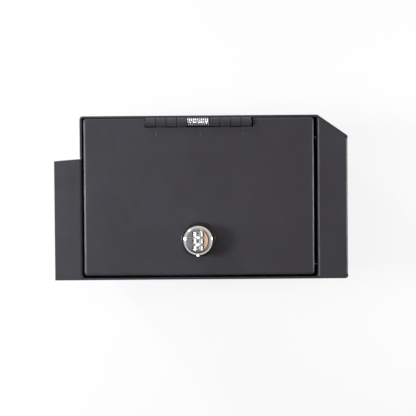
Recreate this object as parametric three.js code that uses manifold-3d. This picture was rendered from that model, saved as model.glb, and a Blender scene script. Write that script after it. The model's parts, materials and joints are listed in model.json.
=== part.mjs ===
// Console safe: a folded steel box with an inset sprung lid and a three-dial combination lock.
// Millimetres, +Z up. The origin is on the ground under the middle of the whole outline.
// The front is at -Y, the hinge at +Y, the mounting flange at -X and the roofed wing at +X.

import * as THREE from 'three';
import { mergeVertices } from 'three/addons/utils/BufferGeometryUtils.js';
import Module from 'manifold-3d';

const wasm = await Module();
wasm.setup();

// Clearances
const SEAT_GAP = 0.3;            // between pieces that rest on, or are fixed to, each other
const TURN_GAP = 0.3;            // radial, between a shaft and its hole
const SEAM_GAP = 0.3;            // between the edges of two panels
const SWING_GAP = 1.7;           // least gap between the opening lid's front lip and the front wall
const LID_GAP_LEFT = 1.7;
const LID_GAP_RIGHT = 3.6;
const LID_GAP_BACK = 0.4;
const KNUCKLE_GAP = 0.35;        // between neighbouring knuckles
const NOTCH_GAP = 0.6;           // between the hinge barrel and the lid's notch, at the front
const NOTCH_SIDE_GAP = 1.1;      // the same, at each end
const LEAF_GAP = 0.5;            // between a knuckle and the other leaf's cut-back edge
const DIAL_SIDE_GAP = 0.2;       // between a dial and the sides of its slot
const DIAL_RIM_GAP = 0.4;        // between a dial and the ends of its slot
const CAM_GAP = 0.5;             // between the cam and the keeper above it

// Sheet metal of the box and the lid
const SHEET = 2;
const BEND_RADIUS = 0.6;         // inside radius of a folded edge
const CORNER_RADIUS = 1.2;       // inside radius of an upright corner
const CORNER_RETURN = 4;         // how far the front and back panels run round each corner
const CLIP_RETURN = 2.4;         // the same, past the end of the cut-off corner
const RELIEF_WIDTH = 1.4;        // of the cut that frees the flange's bend from the wall
const EDGE_ROUND = 1.5;          // corners of cut edges

// Box
const BOX_WIDTH = 267.6;
const BOX_DEPTH = 163.8;
const BOX_HEIGHT = 150;
const CLIP_WIDTH = 30.3;         // the cut-off back corner, along X
const CLIP_DEPTH = 21.1;         // the cut-off back corner, along Y
const WING_WIDTH = 30.4;
const WING_LIP = 14;
const FLANGE_WIDTH = 25.8;
const FLANGE_LENGTH = 121.2;     // along the box's wall
const FLANGE_SLANT = 2;          // how much shorter the flange's free edge is
const BOLT_HOLE_DIAMETER = 7;    // for the M6 mounting bolts
const BOLT_SPACING = 140;

// Lid
const LID_RISE = 2;              // how far the lid stands above the rim
const LID_LIP = 14;

// Hinge
const HINGE_LENGTH = 105.5;
const KNUCKLE_RADIUS = 4.5;
const LEAF_SHEET = 2;
const LEAF_WIDTH = 25;           // from the hinge axis to the leaf's free edge
const KNUCKLES_PER_SIDE = 4;
const PIN_END = 0.4;             // how far the pin stands out at each end
const SPRING_WINDOW = 22.2;      // gap between the two sets of knuckles
const SPRING_OFFSET = -0.25;     // of that gap's middle from the hinge's middle
const SPRING_WIRE = 1.6;
const SPRING_INSET = 0.1;        // of the coil's outside from the knuckles' outside
const SPRING_TURNS = 9.75;
const SPRING_TAIL = 2.6;         // straight end that sits in a knuckle's notch
const SPRING_END_ROOM = 1.1;     // from a knuckle's face to the first coil
const SPRING_BEND = 1.2;

// Keeper that the lid rests on and the cam hooks under
const KEEPER_LENGTH = 90;
const KEEPER_REACH = 13;
const KEEPER_DROP = 10;

// Lock
const LOCK_FROM_LID_FRONT = 35.8;
const LOCK_OFFSET = -1;          // from the lid's middle, along X
const RING_HEIGHT = 3;
const RING_MARGIN = 2.6;         // of the ring round the head
const RING_CHAMFER = 0.9;
const BARREL_RADIUS = 9;
const BARREL_FLATS = 16;         // across the two flats that stop the barrel turning
const WASHER_RADIUS = 13.5;
const WASHER_THICKNESS = 0.8;
const WASHER_TEETH = 16;
const NUT_ACROSS_FLATS = 24;
const NUT_HEIGHT = 5;
const NUT_CHAMFER = 0.8;
const HEAD_WALL = 1.1;           // thinnest wall, at the corners of the outer slots
const HEAD_FILLET = 1.4;
const HEAD_RIM = 0.9;            // flat rim round the shallow dome of the face
const HEAD_DOME = 0.5;
const NUB_WIDTH = 3.2;
const NUB_REACH = 1.4;
const NUB_DROP = 1.2;            // of the nub's top below the face
const SPINDLE_PLATE = 1.2;
const SPINDLE_RADIUS = 4.3;
const SPINDLE_SQUARE = 6;
const DIAL_RADIUS = 8.2;
const DIAL_THICKNESS = 5;
const DIAL_SHOW = 2;             // how far a dial's rim stands above the face
const DIAL_DIGITS = 10;
const DIAL_GROOVE = 0.9;
const DIAL_GROOVE_DEPTH = 0.5;
const DIAL_BAR = 1.4;            // bar between two dials
const DIAL_ROW_OFFSET = -0.75;   // of the middle dial from the head's axis
const AXLE_RADIUS = 1.2;
const AXLE_SEAT = 1.5;           // of the axle's blind end in the head's wall
const RESET_PIN_RADIUS = 0.7;
const RESET_PIN_LENGTH = 2.4;
const RESET_TRAVEL = 1;
const RESET_DEPTH = 0.4;         // of the pin's top below the face
const RESET_FROM_SLOT = 1.75;    // from the first dial's slot to the pin's axis
const CAM_THICKNESS = 2.5;
const CAM_HUB_RADIUS = 8;
const CAM_TIP_RADIUS = 6;
const CAM_OVERLAP = 6;           // how far the turned cam reaches under the keeper
const CAM_WASHER_RADIUS = 5.5;
const CAM_WASHER_THICKNESS = 0.8;
const SCREW_RADIUS = 2;
const SCREW_LENGTH = 9;
const SCREW_HEAD_RADIUS = 4;
const SCREW_HEAD_HEIGHT = 2.6;
const SCREW_SLOT = 1;

// Fineness of round shapes
const ARC_STEP = Math.PI / 10;
const ROUND_SEGMENTS = 48;
const SMALL_SEGMENTS = 24;
const CAM_ARC_STEPS = 12;
const COIL_STEPS = 8;
const COIL_SIDES = 5;
const CUT_MARGIN = 5;            // how far a cutting tool runs past what it cuts

// Places that follow from the sizes above
const leftEnd = -(BOX_WIDTH + FLANGE_WIDTH) / 2;
const wallLeft = leftEnd + FLANGE_WIDTH;
const wallRight = wallLeft + BOX_WIDTH;
const wallFront = -BOX_DEPTH / 2;
const wallBack = BOX_DEPTH / 2;
const insideBack = wallBack - SHEET;
const insideFront = wallFront + SHEET;
const clipStartX = wallRight - CLIP_WIDTH;
const clipEndY = wallBack - CLIP_DEPTH;
const wingEdge = wallRight - WING_WIDTH;
const sideSeamFront = wallFront + CORNER_RETURN + SEAM_GAP;
const leftSeamBack = wallBack - CORNER_RETURN - SEAM_GAP;
const rightSeamBack = clipEndY - CLIP_RETURN - SEAM_GAP;
const flangeBack = wallFront + FLANGE_LENGTH;

const lidTop = BOX_HEIGHT + LID_RISE;
const lidUnderside = lidTop - SHEET;
const lipBottom = lidTop - LID_LIP;
const leafTop = lidUnderside - SEAT_GAP;
const hingeY = insideBack - SEAT_GAP - KNUCKLE_RADIUS;
const hingeZ = leafTop - LEAF_SHEET + KNUCKLE_RADIUS;
const lidLeft = wallLeft + SHEET + LID_GAP_LEFT;
const lidRight = wingEdge - LID_GAP_RIGHT;
const lidBack = insideBack - LID_GAP_BACK;
const lidSwing = hingeY - insideFront - SWING_GAP;
const lidFront = hingeY - Math.sqrt(lidSwing ** 2 - (hingeZ - lipBottom) ** 2);
const lidMiddle = (lidLeft + lidRight) / 2;

const keeperWall = insideFront + SEAT_GAP;
const keeperTop = lipBottom - SEAT_GAP;
const keeperEdge = keeperWall + KEEPER_REACH;

// Places in the lock, measured up from the lid's top face and out from the lock's axis
const lockX = lidMiddle + LOCK_OFFSET;
const lockY = lidFront + LOCK_FROM_LID_FRONT;
const ringTop = SEAT_GAP + RING_HEIGHT;
const headBottom = ringTop + SEAT_GAP;
const plateTop = headBottom + SPINDLE_PLATE;
const axleZ = plateTop + 2 * SEAT_GAP + DIAL_RADIUS;
const faceZ = axleZ + DIAL_RADIUS - DIAL_SHOW;
const dialPitch = DIAL_THICKNESS + 2 * DIAL_SIDE_GAP + DIAL_BAR;
const slotHalfWidth = DIAL_RADIUS + DIAL_RIM_GAP;
const slotHalfDepth = DIAL_THICKNESS / 2 + DIAL_SIDE_GAP;
const slotFarEnd = Math.abs(DIAL_ROW_OFFSET) + dialPitch + slotHalfDepth;
const headRadius = Math.hypot(slotHalfWidth, slotFarEnd) + HEAD_WALL;
const plateRadius = headRadius - HEAD_WALL - SEAT_GAP;
const nubEnd = headRadius + NUB_REACH;
const axleEnd = -slotFarEnd - AXLE_SEAT;
const firstSlotEnd = DIAL_ROW_OFFSET + dialPitch + slotHalfDepth;
const resetY = firstSlotEnd + RESET_FROM_SLOT;
const resetHoleRadius = RESET_PIN_RADIUS + TURN_GAP;
const boreRadius = BARREL_RADIUS + SEAT_GAP;
const camTop = keeperTop - SHEET - CAM_GAP - lidTop;
const barrelBottom = camTop + SEAT_GAP;
const camBottom = camTop - CAM_THICKNESS;
const camReach = lockY - keeperEdge + CAM_OVERLAP;
const camWasherTop = camBottom - SEAT_GAP;
const screwHeadTop = camWasherTop - CAM_WASHER_THICKNESS - SEAT_GAP;
const washerTop = -SHEET - SEAT_GAP;
const nutTop = washerTop - WASHER_THICKNESS - SEAT_GAP;

// Outlines

// Points of an outline whose corners are [x, y, radius]; an open outline keeps its two ends.
function roundedPoints(corners, closed = true) {
  const count = corners.length;
  return corners.flatMap(([x, y, radius = 0], index) => {
    const corner = new THREE.Vector2(x, y);
    const isEnd = !closed && (index === 0 || index === count - 1);
    if (radius <= 0 || isEnd) return [corner];
    const [beforeX, beforeY] = corners[(index + count - 1) % count];
    const [afterX, afterY] = corners[(index + 1) % count];
    const before = new THREE.Vector2(beforeX, beforeY).sub(corner).normalize();
    const after = new THREE.Vector2(afterX, afterY).sub(corner).normalize();
    const half = Math.acos(THREE.MathUtils.clamp(before.dot(after), -1, 1)) / 2;
    const middle = before.clone().add(after).normalize();
    const centre = corner.clone().addScaledVector(middle, radius / Math.sin(half));
    const start = before.clone().multiplyScalar(radius / Math.tan(half)).add(corner).sub(centre);
    const side = Math.sign(before.cross(after));
    const sweep = -side * (Math.PI - 2 * half);
    const steps = Math.max(1, Math.ceil(Math.abs(sweep) / ARC_STEP));
    return Array.from({ length: steps + 1 }, (_, step) =>
      start.clone().rotateAround(new THREE.Vector2(), (sweep * step) / steps).add(centre));
  });
}

// A path moved sideways to its left, with mitred corners.
function offsetPath(path, distance) {
  const points = path.map(([x, y]) => new THREE.Vector2(x, y));
  const normals = points.slice(1).map((point, index) => {
    const run = point.clone().sub(points[index]).normalize();
    return new THREE.Vector2(-run.y, run.x);
  });
  return points.map((point, index) => {
    const before = normals[Math.max(index - 1, 0)];
    const after = normals[Math.min(index, normals.length - 1)];
    const mitre = before.clone().add(after).multiplyScalar(distance / (1 + before.dot(after)));
    return [point.x + mitre.x, point.y + mitre.y];
  });
}

// Outline of a sheet bent along a path, which is the face on the right hand of the path's run.
function bentSheet(path, thickness, insideRadius) {
  const inner = offsetPath(path, thickness);
  const cornerRadius = (index, onLeft) => {
    if (index === 0 || index === path.length - 1) return 0;
    const [ax, ay] = path[index - 1];
    const [bx, by] = path[index];
    const [cx, cy] = path[index + 1];
    const turnsLeft = (bx - ax) * (cy - by) - (by - ay) * (cx - bx) > 0;
    return turnsLeft === onLeft ? insideRadius : insideRadius + thickness;
  };
  const rightSide = path.map(([x, y], index) => [x, y, cornerRadius(index, false)]);
  const leftSide = inner.map(([x, y], index) => [x, y, cornerRadius(index, true)]);
  return roundedPoints([...rightSide, ...leftSide.reverse()]);
}

function circlePoints(radius, segments = ROUND_SEGMENTS) {
  return Array.from({ length: segments }, (_, index) => {
    const angle = (index / segments) * 2 * Math.PI;
    return new THREE.Vector2(radius * Math.cos(angle), radius * Math.sin(angle));
  });
}

// Solids

// An outline pushed along an axis: (x, y) along Z, (x, z) along Y, or (y, z) along X.
function prism(points, axis, from, to, holes = []) {
  const shape = new THREE.Shape(points);
  shape.holes = holes.map((hole) => new THREE.Path(hole));
  const geometry = new THREE.ExtrudeGeometry(shape, { depth: to - from, bevelEnabled: false });
  if (axis === 'z') return geometry.translate(0, 0, from);
  if (axis === 'y') return geometry.rotateX(Math.PI / 2).translate(0, to, 0);
  const turn = new THREE.Matrix4().makeBasis(
    new THREE.Vector3(0, 1, 0),
    new THREE.Vector3(0, 0, 1),
    new THREE.Vector3(1, 0, 0),
  );
  return geometry.applyMatrix4(turn).translate(from, 0, 0);
}

function box([x0, x1], [y0, y1], [z0, z1]) {
  const geometry = new THREE.BoxGeometry(x1 - x0, y1 - y0, z1 - z0);
  return geometry.translate((x0 + x1) / 2, (y0 + y1) / 2, (z0 + z1) / 2);
}

// A profile of [radius, height] corners turned about Z. It runs up the outside.
function turned(profile, segments = ROUND_SEGMENTS) {
  const points = profile.map(([radius, height]) => new THREE.Vector2(radius, height));
  points.push(points[0].clone());
  return new THREE.LatheGeometry(points, segments).rotateX(Math.PI / 2);
}

function rod(radius, from, to, segments = SMALL_SEGMENTS) {
  return turned([[0, from], [radius, from], [radius, to], [0, to]], segments);
}

function alongX(geometry) {
  return geometry.rotateY(Math.PI / 2);
}

function alongY(geometry) {
  return geometry.rotateX(-Math.PI / 2);
}

function toSolid(geometry) {
  const bare = geometry.clone();
  Object.keys(bare.attributes)
    .filter((name) => name !== 'position')
    .forEach((name) => bare.deleteAttribute(name));
  const merged = mergeVertices(bare, 1e-4);
  const corners = Array.from(merged.index.array);
  const faces = [];
  for (let at = 0; at < corners.length; at += 3) {
    const [a, b, c] = corners.slice(at, at + 3);
    if (a !== b && b !== c && c !== a) faces.push(a, b, c);
  }
  return new wasm.Manifold(new wasm.Mesh({
    numProp: 3,
    vertProperties: new Float32Array(merged.attributes.position.array),
    triVerts: new Uint32Array(faces),
  }));
}

function toGeometry(solid) {
  const { vertProperties, triVerts } = solid.getMesh();
  const indexed = new THREE.BufferGeometry();
  indexed.setAttribute('position', new THREE.BufferAttribute(vertProperties, 3));
  indexed.setIndex(new THREE.BufferAttribute(triVerts, 1));
  const geometry = indexed.toNonIndexed();
  geometry.computeVertexNormals();
  return geometry;
}

function join(...geometries) {
  return toGeometry(geometries.map(toSolid).reduce((whole, piece) => whole.add(piece)));
}

function cut(geometry, ...tools) {
  return toGeometry(tools.map(toSolid).reduce((whole, tool) => whole.subtract(tool), toSolid(geometry)));
}

function common(first, second) {
  return toGeometry(toSolid(first).intersect(toSolid(second)));
}

// Box panels

const frontPath = [
  [wallLeft, wallFront + CORNER_RETURN],
  [wallLeft, wallFront],
  [wallRight, wallFront],
  [wallRight, wallFront + CORNER_RETURN],
];

const backPath = [
  [wallRight, clipEndY - CLIP_RETURN],
  [wallRight, clipEndY],
  [clipStartX, wallBack],
  [wallLeft, wallBack],
  [wallLeft, wallBack - CORNER_RETURN],
];

// Outline of what fits inside the walls, for the floor and the roofed wing.
function insideCorners(gap) {
  const outline = [[wallLeft, wallFront], [wallRight, wallFront], ...backPath.slice(1, 4)];
  const around = [outline.at(-1), ...outline, outline[0]];
  return offsetPath(around, SHEET + gap).slice(1, -1).map(([x, y]) => [x, y, CORNER_RADIUS]);
}

function frontPanel() {
  return prism(bentSheet(frontPath, SHEET, CORNER_RADIUS), 'z', 0, BOX_HEIGHT);
}

function backPanel() {
  return prism(bentSheet(backPath, SHEET, CORNER_RADIUS), 'z', 0, BOX_HEIGHT);
}

function leftPanel() {
  const bendBottom = BOX_HEIGHT - SHEET - BEND_RADIUS;
  const reliefEnd = flangeBack + RELIEF_WIDTH;
  const wall = prism(
    roundedPoints([
      [sideSeamFront, 0],
      [leftSeamBack, 0],
      [leftSeamBack, BOX_HEIGHT],
      [reliefEnd, BOX_HEIGHT],
      [reliefEnd, bendBottom],
      [sideSeamFront, bendBottom],
    ]),
    'x', wallLeft, wallLeft + SHEET,
  );
  const foldPath = [
    [wallLeft + SHEET, bendBottom - CUT_MARGIN],
    [wallLeft + SHEET, BOX_HEIGHT],
    [leftEnd, BOX_HEIGHT],
  ];
  const folded = prism(bentSheet(foldPath, SHEET, BEND_RADIUS), 'y', sideSeamFront, flangeBack);
  const cornerRound = CORNER_RADIUS + SHEET;
  const frontTab = prism(
    roundedPoints([
      [leftEnd, wallFront, EDGE_ROUND],
      [wallLeft + cornerRound, wallFront],
      [wallLeft + cornerRound, sideSeamFront + SHEET],
      [leftEnd, sideSeamFront + SHEET],
    ]),
    'z', BOX_HEIGHT - SHEET, BOX_HEIGHT,
  );
  const boxCorner = prism(
    roundedPoints([
      [wallLeft - SEAM_GAP, wallFront - SEAM_GAP, cornerRound + SEAM_GAP],
      [wallRight, wallFront - SEAM_GAP],
      [wallRight, wallBack],
      [wallLeft - SEAM_GAP, wallBack],
    ]),
    'z', BOX_HEIGHT - SHEET - CUT_MARGIN, BOX_HEIGHT + CUT_MARGIN,
  );
  const slant = prism(
    [
      new THREE.Vector2(wallLeft, flangeBack),
      new THREE.Vector2(wallLeft, flangeBack + CUT_MARGIN),
      new THREE.Vector2(leftEnd - FLANGE_WIDTH, flangeBack + CUT_MARGIN),
      new THREE.Vector2(leftEnd - FLANGE_WIDTH, flangeBack - 2 * FLANGE_SLANT),
    ],
    'z', BOX_HEIGHT - SHEET - CUT_MARGIN, BOX_HEIGHT + CUT_MARGIN,
  );
  return cut(join(wall, folded, cut(frontTab, boxCorner)), slant);
}

function rightPanel() {
  const foldPath = [
    [wallRight, 0],
    [wallRight, BOX_HEIGHT],
    [wingEdge, BOX_HEIGHT],
    [wingEdge, BOX_HEIGHT - WING_LIP],
  ];
  const folded = prism(bentSheet(foldPath, SHEET, BEND_RADIUS), 'y', wallFront, wallBack);
  const roof = prism(roundedPoints(insideCorners(SEAM_GAP)), 'z', -CUT_MARGIN, BOX_HEIGHT + CUT_MARGIN);
  const wallRun = box(
    [wallRight - SHEET - CUT_MARGIN, wallRight + CUT_MARGIN],
    [sideSeamFront, rightSeamBack],
    [-CUT_MARGIN, BOX_HEIGHT + CUT_MARGIN],
  );
  return common(folded, join(roof, wallRun));
}

function bottomPlate() {
  const boltHoles = [-1, 1].map((side) => {
    const middle = (wallLeft + wallRight) / 2;
    const points = circlePoints(BOLT_HOLE_DIAMETER / 2, SMALL_SEGMENTS);
    return points.map((point) => point.add(new THREE.Vector2(middle + (side * BOLT_SPACING) / 2, 0)));
  });
  return prism(roundedPoints(insideCorners(SEAM_GAP)), 'z', 0, SHEET, boltHoles);
}

function latchKeeper() {
  const path = [
    [keeperEdge, keeperTop],
    [keeperWall, keeperTop],
    [keeperWall, keeperTop - KEEPER_DROP],
  ];
  const profile = bentSheet(path, SHEET, BEND_RADIUS);
  return prism(profile, 'x', lockX - KEEPER_LENGTH / 2, lockX + KEEPER_LENGTH / 2);
}

// Hinge, measured from the middle of its axis

const springLeft = SPRING_OFFSET - SPRING_WINDOW / 2;
const springRight = SPRING_OFFSET + SPRING_WINDOW / 2;
const knuckleBore = KNUCKLE_RADIUS - LEAF_SHEET;
const coilRadius = KNUCKLE_RADIUS - SPRING_INSET - SPRING_WIRE / 2;
const coilBore = coilRadius * Math.cos(Math.PI / COIL_STEPS) - SPRING_WIRE / 2;
const pinRadius = Math.min(knuckleBore, coilBore) - TURN_GAP;

// The knuckles along each side of the spring, rolled in turn from the body's and the lid's leaf.
function knuckleRuns(fromLid) {
  const sides = [[-HINGE_LENGTH / 2, springLeft], [springRight, HINGE_LENGTH / 2]];
  return sides.flatMap(([start, end]) => {
    const pitch = (end - start) / KNUCKLES_PER_SIDE;
    return Array.from({ length: KNUCKLES_PER_SIDE }, (_, index) => index)
      .filter((index) => (index % 2 === 1) === fromLid)
      .map((index) => [
        start + index * pitch + KNUCKLE_GAP / 2,
        start + (index + 1) * pitch - KNUCKLE_GAP / 2,
      ]);
  });
}

// A leaf whose plate hangs straight down from the back of its knuckles.
function hingeLeaf(fromLid) {
  const backFace = [KNUCKLE_RADIUS - LEAF_SHEET, KNUCKLE_RADIUS];
  const cutBack = -(KNUCKLE_RADIUS + LEAF_GAP);
  const plate = box([-HINGE_LENGTH / 2, HINGE_LENGTH / 2], backFace, [-LEAF_WIDTH, cutBack]);
  const knuckles = knuckleRuns(fromLid).map(([start, end]) => {
    const barrel = alongX(rod(KNUCKLE_RADIUS, start, end, ROUND_SEGMENTS));
    const tab = box([start, end], backFace, [cutBack - LEAF_SHEET, 0]);
    const bore = alongX(rod(knuckleBore, start - CUT_MARGIN, end + CUT_MARGIN, ROUND_SEGMENTS));
    return cut(join(barrel, tab), bore);
  });
  return join(plate, ...knuckles);
}

// The notch in a knuckle's end face that holds the spring's straight end.
function tailNotch(faceX, inward, angle) {
  const halfWidth = SPRING_WIRE / 2 + SEAT_GAP;
  const ends = [faceX - inward * CUT_MARGIN, faceX + inward * (SPRING_TAIL + SEAT_GAP)];
  const notch = box(
    [Math.min(...ends), Math.max(...ends)],
    [knuckleBore - LEAF_SHEET / 2, KNUCKLE_RADIUS + LEAF_SHEET],
    [-halfWidth, halfWidth],
  );
  return notch.rotateX(angle);
}

const tailAngleLeft = -Math.PI / 4;
const tailAngleRight = (-3 * Math.PI) / 4;

function hingeBodyLeaf() {
  const notch = tailNotch(springRight + KNUCKLE_GAP / 2, 1, tailAngleRight);
  return cut(hingeLeaf(false), notch);
}

function hingeLidLeaf() {
  const notch = tailNotch(springLeft - KNUCKLE_GAP / 2, -1, tailAngleLeft);
  return cut(hingeLeaf(true).rotateX(-Math.PI / 2), notch);
}

function hingePin() {
  const end = HINGE_LENGTH / 2 + PIN_END;
  const chamfer = pinRadius / 4;
  return alongX(turned([
    [0, -end],
    [pinRadius - chamfer, -end],
    [pinRadius, -end + chamfer],
    [pinRadius, end - chamfer],
    [pinRadius - chamfer, end],
    [0, end],
  ], SMALL_SEGMENTS));
}

// The spring's centre line, laid out flat as [along the pin, round the coil] and then wrapped.
function springLine() {
  const roundStart = tailAngleLeft * coilRadius;
  const roundEnd = roundStart + SPRING_TURNS * 2 * Math.PI * coilRadius;
  const flat = roundedPoints([
    [springLeft - KNUCKLE_GAP / 2 - SPRING_TAIL, roundStart],
    [springLeft + SPRING_END_ROOM, roundStart, SPRING_BEND],
    [springRight - SPRING_END_ROOM, roundEnd, SPRING_BEND],
    [springRight + KNUCKLE_GAP / 2 + SPRING_TAIL, roundEnd],
  ], false);
  const half = flat.length / 2;
  const steps = Math.round(SPRING_TURNS * COIL_STEPS);
  const coil = Array.from({ length: steps - 1 }, (_, step) =>
    flat[half - 1].clone().lerp(flat[half], (step + 1) / steps));
  return [...flat.slice(0, half), ...coil, ...flat.slice(half)].map(({ x, y }) => {
    const angle = y / coilRadius;
    return new THREE.Vector3(x, coilRadius * Math.cos(angle), coilRadius * Math.sin(angle));
  });
}

// Least distance between the wire's surfaces, over points at least half a coil apart along it.
function leastSelfGap(line, wire) {
  const halfCoil = Math.PI * coilRadius;
  let run = 0;
  const runs = line.map((point, index) => {
    run += index > 0 ? point.distanceTo(line[index - 1]) : 0;
    return run;
  });
  const gaps = line.flatMap((point, index) =>
    line.filter((_, other) => runs[other] - runs[index] > halfCoil)
      .map((other) => point.distanceTo(other) - wire));
  return Math.min(...gaps);
}

// One unbroken tube along a line round the X axis.
function coilTube(line, radius) {
  const positions = [];
  const faces = [];
  line.forEach((point, index) => {
    const before = line[Math.max(index - 1, 0)];
    const after = line[Math.min(index + 1, line.length - 1)];
    const along = after.clone().sub(before).normalize();
    const outward = new THREE.Vector3(0, point.y, point.z).normalize();
    const across = along.clone().cross(outward).normalize();
    for (let side = 0; side < COIL_SIDES; side += 1) {
      const angle = (side / COIL_SIDES) * 2 * Math.PI;
      const corner = point.clone()
        .addScaledVector(outward, radius * Math.cos(angle))
        .addScaledVector(across, radius * Math.sin(angle));
      positions.push(corner.x, corner.y, corner.z);
      if (index > 0) {
        const here = index * COIL_SIDES + side;
        const next = index * COIL_SIDES + ((side + 1) % COIL_SIDES);
        faces.push(here - COIL_SIDES, next - COIL_SIDES, next, here - COIL_SIDES, next, here);
      }
    }
  });
  const last = (line.length - 1) * COIL_SIDES;
  for (let side = 1; side < COIL_SIDES - 1; side += 1) {
    faces.push(0, side + 1, side, last, last + side, last + side + 1);
  }
  const geometry = new THREE.BufferGeometry();
  geometry.setAttribute('position', new THREE.Float32BufferAttribute(positions, 3));
  geometry.setIndex(faces);
  geometry.computeVertexNormals();
  return geometry;
}

function hingeSpring() {
  const line = springLine();
  console.log(`hinge spring: least gap to itself ${leastSelfGap(line, SPRING_WIRE).toFixed(2)} mm`);
  return coilTube(line, SPRING_WIRE / 2);
}

// Lid

// Rings of a rectangle with rounded upright corners, all with the same number of points.
function panRing(inset, height) {
  const radius = Math.max(CORNER_RADIUS + SHEET - inset, BEND_RADIUS);
  const corners = [
    [lidLeft + inset, lidFront + inset, radius],
    [lidRight - inset, lidFront + inset, radius],
    [lidRight - inset, lidBack - inset, radius],
    [lidLeft + inset, lidBack - inset, radius],
  ];
  return roundedPoints(corners).map(({ x, y }) => new THREE.Vector3(x, y, height));
}

// A quarter bend of a folded edge as [inset, height] steps, from the flat down to the lip.
function bendSteps(radius, inset, height) {
  const steps = Math.round(Math.PI / 2 / ARC_STEP);
  return Array.from({ length: steps + 1 }, (_, step) => {
    const angle = (step / steps) * (Math.PI / 2);
    return [inset + radius * (1 - Math.sin(angle)), height - radius * (1 - Math.cos(angle))];
  });
}

// A closed body through rings of points, capped at both ends.
function loft(rings) {
  const count = rings[0].length;
  const positions = rings.flat().flatMap(({ x, y, z }) => [x, y, z]);
  const faces = [];
  for (let ring = 1; ring < rings.length; ring += 1) {
    for (let side = 0; side < count; side += 1) {
      const here = ring * count + side;
      const next = ring * count + ((side + 1) % count);
      faces.push(here - count, next - count, next, here - count, next, here);
    }
  }
  const last = (rings.length - 1) * count;
  for (let side = 1; side < count - 1; side += 1) {
    faces.push(0, side + 1, side, last, last + side, last + side + 1);
  }
  const geometry = new THREE.BufferGeometry();
  geometry.setAttribute('position', new THREE.Float32BufferAttribute(positions, 3));
  geometry.setIndex(faces);
  return geometry;
}

function lidPanel() {
  const inside = bendSteps(BEND_RADIUS, SHEET, lidUnderside);
  const outside = bendSteps(BEND_RADIUS + SHEET, 0, lidTop).reverse();
  const profile = [...inside, [SHEET, lipBottom], [0, lipBottom], ...outside];
  const pan = loft(profile.map(([inset, height]) => panRing(inset, height)));
  const notchHalf = HINGE_LENGTH / 2 + NOTCH_SIDE_GAP;
  const notch = box(
    [lidMiddle - notchHalf, lidMiddle + notchHalf],
    [hingeY - KNUCKLE_RADIUS - NOTCH_GAP, lidBack + CUT_MARGIN],
    [lipBottom - CUT_MARGIN, lidTop + CUT_MARGIN],
  );
  const hole = flattened(boreRadius, BARREL_FLATS + 2 * SEAT_GAP, -SHEET - CUT_MARGIN, CUT_MARGIN);
  return cut(pan, notch, hole.translate(lockX, lockY, lidTop));
}

// A rod with two flats, for the barrel and its hole.
function flattened(radius, acrossFlats, from, to) {
  const slab = box([-radius, radius], [-acrossFlats / 2, acrossFlats / 2], [from, to]);
  return common(rod(radius, from, to, ROUND_SEGMENTS), slab);
}

// Lock, measured from its axis at the lid's top face

function lockBaseRing() {
  const outer = headRadius + RING_MARGIN;
  return turned([
    [boreRadius, SEAT_GAP],
    [outer, SEAT_GAP],
    [outer, ringTop - RING_CHAMFER],
    [outer - RING_CHAMFER, ringTop],
    [boreRadius, ringTop],
  ]);
}

function lockBarrel() {
  const bore = rod(SPINDLE_RADIUS + TURN_GAP, barrelBottom - CUT_MARGIN, ringTop + CUT_MARGIN);
  return cut(flattened(BARREL_RADIUS, BARREL_FLATS, barrelBottom, ringTop), bore);
}

function lockWasher() {
  const outline = circlePoints(WASHER_RADIUS, WASHER_TEETH * 2).map((point, index) =>
    (index % 2 === 0 ? point : point.multiplyScalar((WASHER_RADIUS - WASHER_THICKNESS) / WASHER_RADIUS)));
  return prism(outline, 'z', washerTop - WASHER_THICKNESS, washerTop, [circlePoints(boreRadius)]);
}

function lockNut() {
  const corner = NUT_ACROSS_FLATS / 2 / Math.cos(Math.PI / 6);
  const bore = circlePoints(boreRadius);
  const hexagon = prism(circlePoints(corner, 6), 'z', nutTop - NUT_HEIGHT, nutTop, [bore]);
  const chamfered = turned([
    [0, nutTop - NUT_HEIGHT],
    [corner - NUT_CHAMFER * 2, nutTop - NUT_HEIGHT],
    [corner, nutTop - NUT_HEIGHT + NUT_CHAMFER],
    [corner, nutTop - NUT_CHAMFER],
    [corner - NUT_CHAMFER * 2, nutTop],
    [0, nutTop],
  ]);
  return common(hexagon, chamfered);
}

// The middle of each dial along the axle, from the reset hole towards the nub.
const dialPlaces = [1, 0, -1].map((place) => DIAL_ROW_OFFSET + place * dialPitch);

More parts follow.
